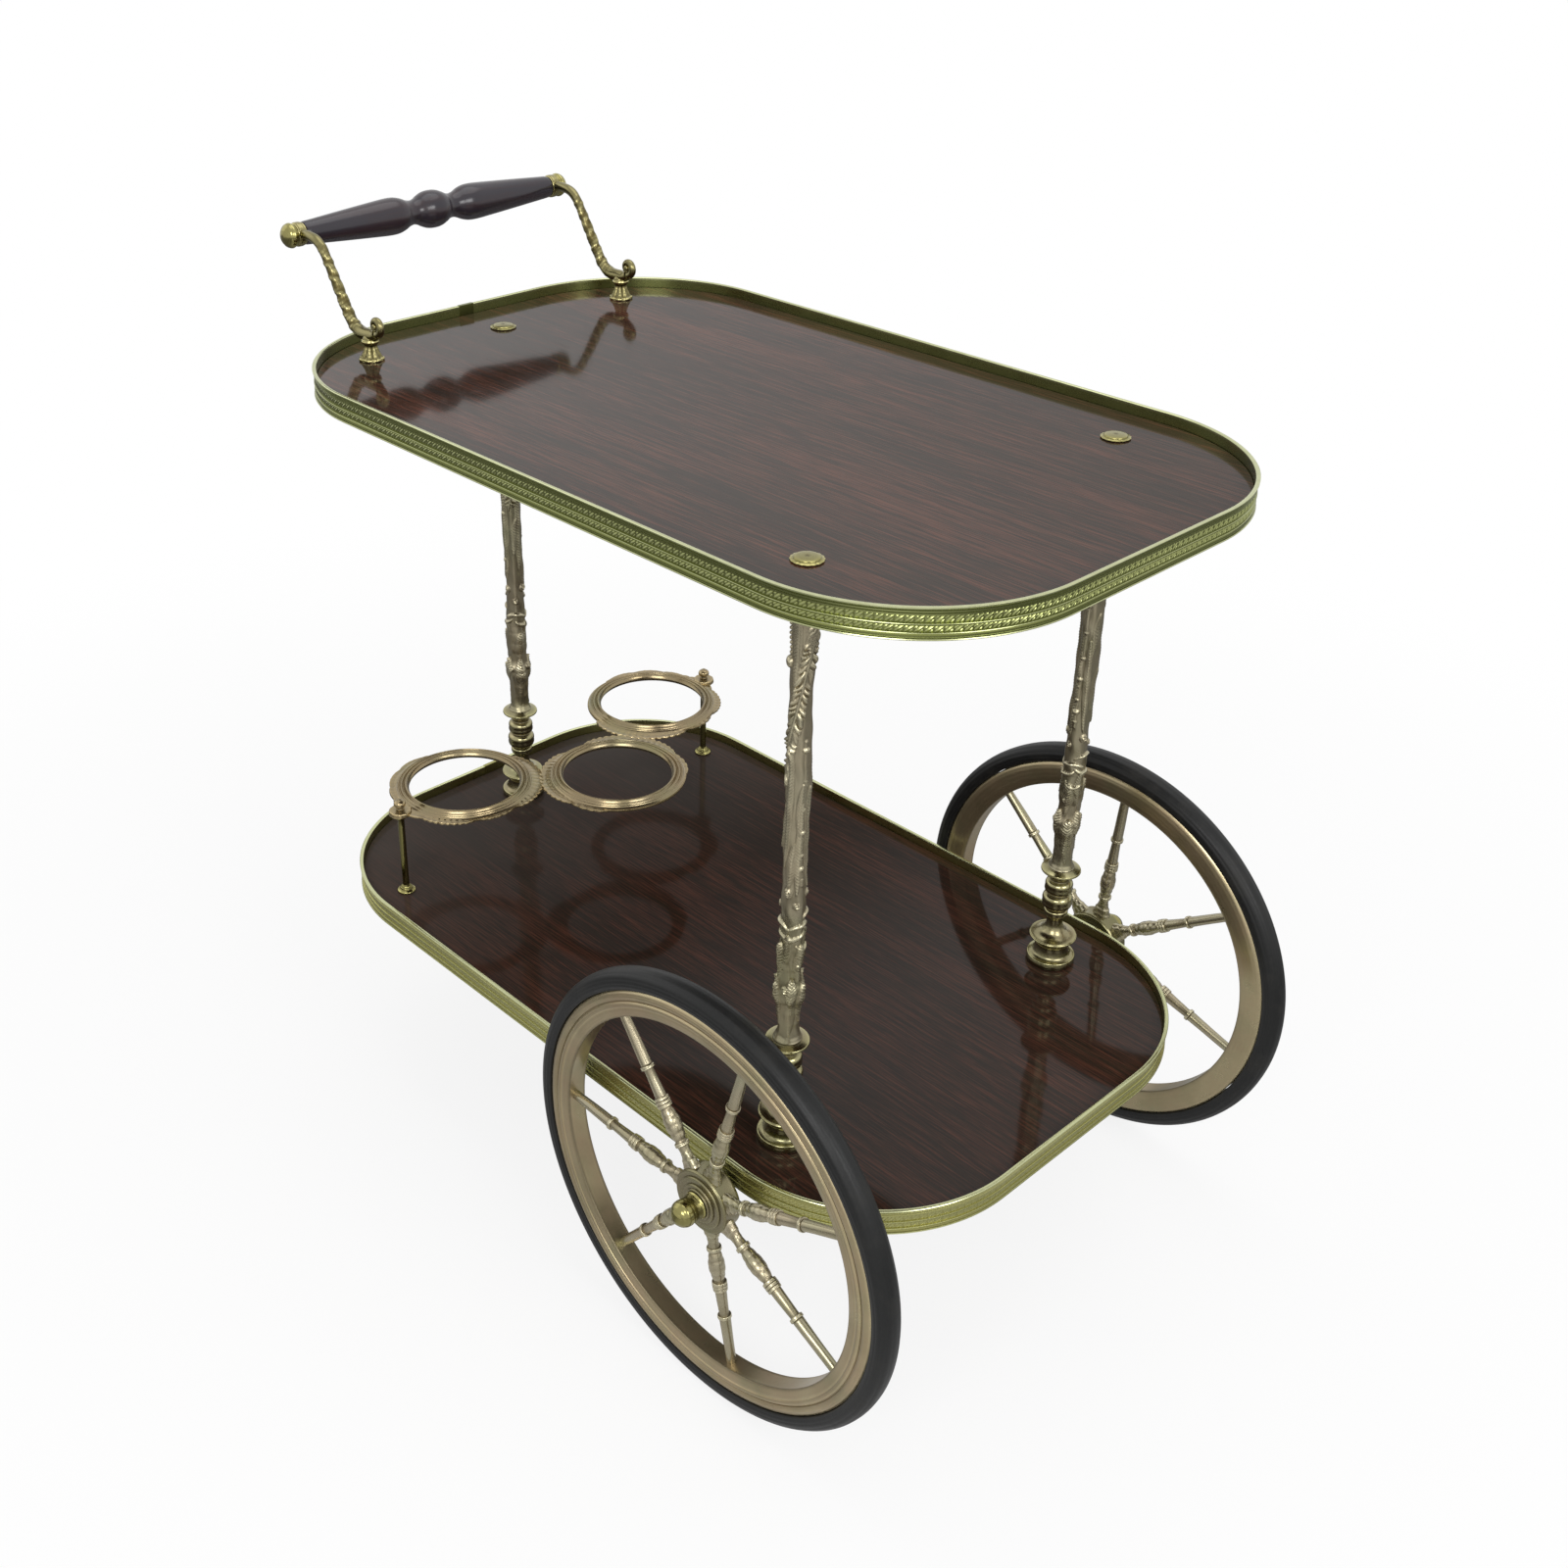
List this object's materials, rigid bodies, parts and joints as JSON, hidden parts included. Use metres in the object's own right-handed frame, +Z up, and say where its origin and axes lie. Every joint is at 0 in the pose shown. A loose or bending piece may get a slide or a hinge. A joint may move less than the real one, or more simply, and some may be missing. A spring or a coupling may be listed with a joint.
{
  "type": "bar cart",
  "caption": "Brass bar cart with oval wood trays, turned posts, large spoked wheels, a swivel castor, a wooden push handle and a bottle holder.",
  "frame": {"origin": "on the floor, under the middle of the cart's overall box", "axes": "+X from the handle towards the large wheels, +Y to the left wheel, +Z up"},
  "size_m": [0.7558, 0.509, 0.7173],
  "materials": {
    "antique_brass": "cast, softly polished, aged",
    "gallery_brass": "stamped strip, polished",
    "polished_brass": "polished",
    "plain_steel": "plain",
    "rosewood_board": "high gloss",
    "dark_grip_wood": "high gloss",
    "black_rubber": "matte"
  },
  "bodies": {
    "frame": {"upper_tray_board": "rosewood_board", "lower_tray_board": "rosewood_board", "upper_tray_gallery": "gallery_brass", "lower_tray_gallery": "gallery_brass", "post_foot_rear": "antique_brass", "post_column_rear": "antique_brass", "post_cap_rear": "polished_brass", "tie_rod_rear": "plain_steel", "post_foot_right": "antique_brass", "post_column_right": "antique_brass", "post_cap_right": "polished_brass", "tie_rod_right": "plain_steel", "tie_rod_nut_right": "plain_steel", "post_foot_left": "antique_brass", "post_column_left": "antique_brass", "post_cap_left": "polished_brass", "tie_rod_left": "plain_steel", "tie_rod_nut_left": "plain_steel", "axle": "plain_steel", "hub_nut_right": "polished_brass", "hub_nut_left": "polished_brass", "castor_socket": "antique_brass", "handle_grip": "dark_grip_wood", "handle_rod": "plain_steel", "handle_arm_right": "polished_brass", "handle_arm_left": "polished_brass", "handle_arm_nut_right": "plain_steel", "handle_arm_nut_left": "plain_steel", "handle_cap_right": "polished_brass", "handle_cap_left": "polished_brass", "bottle_holder": "antique_brass", "holder_stem_right": "polished_brass", "holder_stem_left": "polished_brass", "holder_finial_right": "polished_brass", "holder_finial_left": "polished_brass"},
    "wheel_right": {"wheel_hub_right": "antique_brass", "wheel_rim_right": "antique_brass", "wheel_tyre_right": "black_rubber", "spoke_right_1": "antique_brass", "spoke_right_2": "antique_brass", "spoke_right_3": "antique_brass", "spoke_right_4": "antique_brass", "spoke_right_5": "antique_brass", "spoke_right_6": "antique_brass", "spoke_right_7": "antique_brass"},
    "wheel_left": {"wheel_hub_left": "antique_brass", "wheel_rim_left": "antique_brass", "wheel_tyre_left": "black_rubber", "spoke_left_1": "antique_brass", "spoke_left_2": "antique_brass", "spoke_left_3": "antique_brass", "spoke_left_4": "antique_brass", "spoke_left_5": "antique_brass", "spoke_left_6": "antique_brass", "spoke_left_7": "antique_brass"},
    "castor_swivel_fork": {"castor_fork": "antique_brass", "castor_pin": "plain_steel"},
    "castor_roller": {"castor_wheel": "antique_brass", "castor_tyre": "black_rubber"}
  },
  "joints": [
    {"name": "wheel_right_spin", "type": "hinge", "parent": "frame", "child": "wheel_right", "pos_m": [0.20825, -0.22285, 0.17], "axis": [0, 1, 0], "continuous": true},
    {"name": "wheel_left_spin", "type": "hinge", "parent": "frame", "child": "wheel_left", "pos_m": [0.20825, 0.22285, 0.17], "axis": [0, 1, 0], "continuous": true},
    {"name": "castor_swivel", "type": "hinge", "parent": "frame", "child": "castor_swivel_fork", "pos_m": [-0.27215, 0, 0.104], "axis": [0, 0, 1], "continuous": true},
    {"name": "castor_roll", "type": "hinge", "parent": "castor_swivel_fork", "child": "castor_roller", "pos_m": [-0.29015, 0, 0.045], "axis": [0, 1, 0], "continuous": true}
  ]
}
